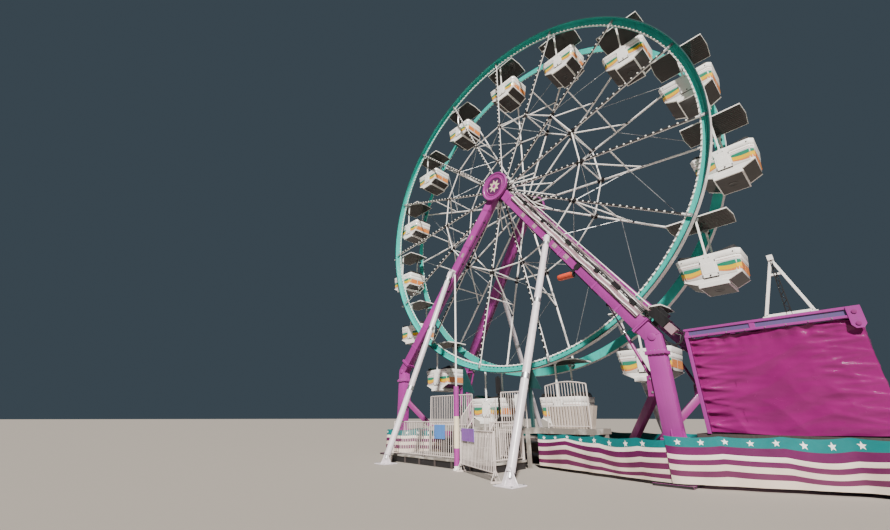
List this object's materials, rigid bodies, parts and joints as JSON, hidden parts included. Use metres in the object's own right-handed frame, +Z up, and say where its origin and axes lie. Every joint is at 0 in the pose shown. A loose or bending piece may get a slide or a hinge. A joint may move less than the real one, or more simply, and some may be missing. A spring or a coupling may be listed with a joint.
{
  "type": "ferris wheel",
  "caption": "Trailer-mounted fairground ferris wheel with level-hanging open cabins between two rims, leaning towers, outriggers, loading deck and striped skirts",
  "frame": {"origin": "on the ground under the middle of the machine's length and width, 320 mm from under the hub", "axes": "+X along the trailer to the coupling end, +Y from the loading side to the far side, +Z up; the wheel turns about Y"},
  "size_m": [18.7178, 11.46, 19.7],
  "materials": {
    "tower_paint": "semi-gloss pink enamel",
    "rim_paint": "teal enamel web with a white flange",
    "white_paint": "white enamel, lightly dusty",
    "steel": "galvanised tube",
    "dark_steel": "dark greased steel",
    "deck_paint": "worn grey deck paint",
    "guard_paint": "dark green enamel",
    "lamp_paint": "orange-red enamel",
    "tarpaulin": "glossy coated magenta tarpaulin",
    "skirt_fabric": "striped coated cloth with a star band",
    "cabin_fibreglass": "gloss white fibreglass"
  },
  "bodies": {
    "base": {"tower_near_left": "tower_paint", "tower_near_right": "tower_paint", "tower_far_left": "tower_paint", "tower_far_right": "tower_paint", "knee_brace_near_left": "tower_paint", "knee_brace_near_right": "tower_paint", "knee_brace_far_left": "tower_paint", "knee_brace_far_right": "tower_paint", "cross_beam_left": "tower_paint", "cross_beam_right": "tower_paint", "hub_cover_near": "tower_paint", "hub_cover_far": "tower_paint", "cover_rail_near": "tower_paint", "cover_rail_far": "tower_paint", "a_frame_mast": "white_paint", "pole": "steel", "outrigger_near_left": "steel", "outrigger_near_right": "steel", "outrigger_far_left": "steel", "outrigger_far_right": "steel", "deck_fence_left": "steel", "deck_fence_middle": "steel", "deck_fence_right": "steel", "queue_fence": "steel", "crowd_barrier": "steel", "bearing_near": "dark_steel", "bearing_far": "dark_steel", "horn_post": "dark_steel", "trailer_frame": "deck_paint", "loading_deck": "deck_paint", "queue_platform": "deck_paint", "steps": "deck_paint", "control_desk": "deck_paint", "rim_guard_left": "guard_paint", "rim_guard_right": "guard_paint", "drum_lamp": "lamp_paint", "machinery_cover": "tarpaulin", "skirt_near_left": "skirt_fabric", "skirt_near_right": "skirt_fabric", "skirt_far": "skirt_fabric"},
    "wheel": {"near_rim": "rim_paint", "far_rim": "rim_paint", "near_spokes": "white_paint", "far_spokes": "white_paint", "axle": "steel"},
    "swing_01": {"cabin_01": "cabin_fibreglass"},
    "swing_02": {"cabin_02": "cabin_fibreglass"},
    "swing_03": {"cabin_03": "cabin_fibreglass"},
    "swing_04": {"cabin_04": "cabin_fibreglass"},
    "swing_05": {"cabin_05": "cabin_fibreglass"},
    "swing_06": {"cabin_06": "cabin_fibreglass"},
    "swing_07": {"cabin_07": "cabin_fibreglass"},
    "swing_08": {"cabin_08": "cabin_fibreglass"},
    "swing_09": {"cabin_09": "cabin_fibreglass"},
    "swing_10": {"cabin_10": "cabin_fibreglass"},
    "swing_11": {"cabin_11": "cabin_fibreglass"},
    "swing_12": {"cabin_12": "cabin_fibreglass"},
    "swing_13": {"cabin_13": "cabin_fibreglass"},
    "swing_14": {"cabin_14": "cabin_fibreglass"},
    "swing_15": {"cabin_15": "cabin_fibreglass"}
  },
  "joints": [
    {"name": "wheel_spin", "type": "hinge", "parent": "base", "child": "wheel", "pos_m": [-0.32, 0, 11.4], "axis": [0, 1, 0], "continuous": true},
    {"name": "cabin_swing_01", "type": "hinge", "parent": "wheel", "child": "swing_01", "pos_m": [-7.47439, 0, 7.43426], "axis": [0, 1, 0], "continuous": true},
    {"name": "cabin_swing_02", "type": "hinge", "parent": "wheel", "child": "swing_02", "pos_m": [-8.46887, 0, 10.68707], "axis": [0, 1, 0], "continuous": true},
    {"name": "cabin_swing_03", "type": "hinge", "parent": "wheel", "child": "swing_03", "pos_m": [-8.05434, 0, 14.06315], "axis": [0, 1, 0], "continuous": true},
    {"name": "cabin_swing_04", "type": "hinge", "parent": "wheel", "child": "swing_04", "pos_m": [-6.30247, 0, 16.97875], "axis": [0, 1, 0], "continuous": true},
    {"name": "cabin_swing_05", "type": "hinge", "parent": "wheel", "child": "swing_05", "pos_m": [-3.51618, 0, 18.92973], "axis": [0, 1, 0], "continuous": true},
    {"name": "cabin_swing_06", "type": "hinge", "parent": "wheel", "child": "swing_06", "pos_m": [-0.17724, 0, 19.57875], "axis": [0, 1, 0], "continuous": true},
    {"name": "cabin_swing_07", "type": "hinge", "parent": "wheel", "child": "swing_07", "pos_m": [3.13702, 0, 18.8136], "axis": [0, 1, 0], "continuous": true},
    {"name": "cabin_swing_08", "type": "hinge", "parent": "wheel", "child": "swing_08", "pos_m": [5.85352, 0, 16.76656], "axis": [0, 1, 0], "continuous": true},
    {"name": "cabin_swing_09", "type": "hinge", "parent": "wheel", "child": "swing_09", "pos_m": [7.50257, 0, 13.7916], "axis": [0, 1, 0], "continuous": true},
    {"name": "cabin_swing_10", "type": "hinge", "parent": "wheel", "child": "swing_10", "pos_m": [7.79903, 0, 10.40311], "axis": [0, 1, 0], "continuous": true},
    {"name": "cabin_swing_11", "type": "hinge", "parent": "wheel", "child": "swing_11", "pos_m": [6.69163, 0, 7.18699], "axis": [0, 1, 0], "continuous": true},
    {"name": "cabin_swing_12", "type": "hinge", "parent": "wheel", "child": "swing_12", "pos_m": [4.37186, 0, 4.69934], "axis": [0, 1, 0], "continuous": true},
    {"name": "cabin_swing_13", "type": "hinge", "parent": "wheel", "child": "swing_13", "pos_m": [1.24082, 0, 3.37029], "axis": [0, 1, 0], "continuous": true},
    {"name": "cabin_swing_14", "type": "hinge", "parent": "wheel", "child": "swing_14", "pos_m": [-2.1601, 0, 3.42965], "axis": [0, 1, 0], "continuous": true},
    {"name": "cabin_swing_15", "type": "hinge", "parent": "wheel", "child": "swing_15", "pos_m": [-5.24285, 0, 4.86716], "axis": [0, 1, 0], "continuous": true}
  ],
  "couplings": [
    {"joint": "cabin_swing_01", "follows": "wheel_spin", "ratio": -1},
    {"joint": "cabin_swing_02", "follows": "wheel_spin", "ratio": -1},
    {"joint": "cabin_swing_03", "follows": "wheel_spin", "ratio": -1},
    {"joint": "cabin_swing_04", "follows": "wheel_spin", "ratio": -1},
    {"joint": "cabin_swing_05", "follows": "wheel_spin", "ratio": -1},
    {"joint": "cabin_swing_06", "follows": "wheel_spin", "ratio": -1},
    {"joint": "cabin_swing_07", "follows": "wheel_spin", "ratio": -1},
    {"joint": "cabin_swing_08", "follows": "wheel_spin", "ratio": -1},
    {"joint": "cabin_swing_09", "follows": "wheel_spin", "ratio": -1},
    {"joint": "cabin_swing_10", "follows": "wheel_spin", "ratio": -1},
    {"joint": "cabin_swing_11", "follows": "wheel_spin", "ratio": -1},
    {"joint": "cabin_swing_12", "follows": "wheel_spin", "ratio": -1},
    {"joint": "cabin_swing_13", "follows": "wheel_spin", "ratio": -1},
    {"joint": "cabin_swing_14", "follows": "wheel_spin", "ratio": -1},
    {"joint": "cabin_swing_15", "follows": "wheel_spin", "ratio": -1}
  ]
}
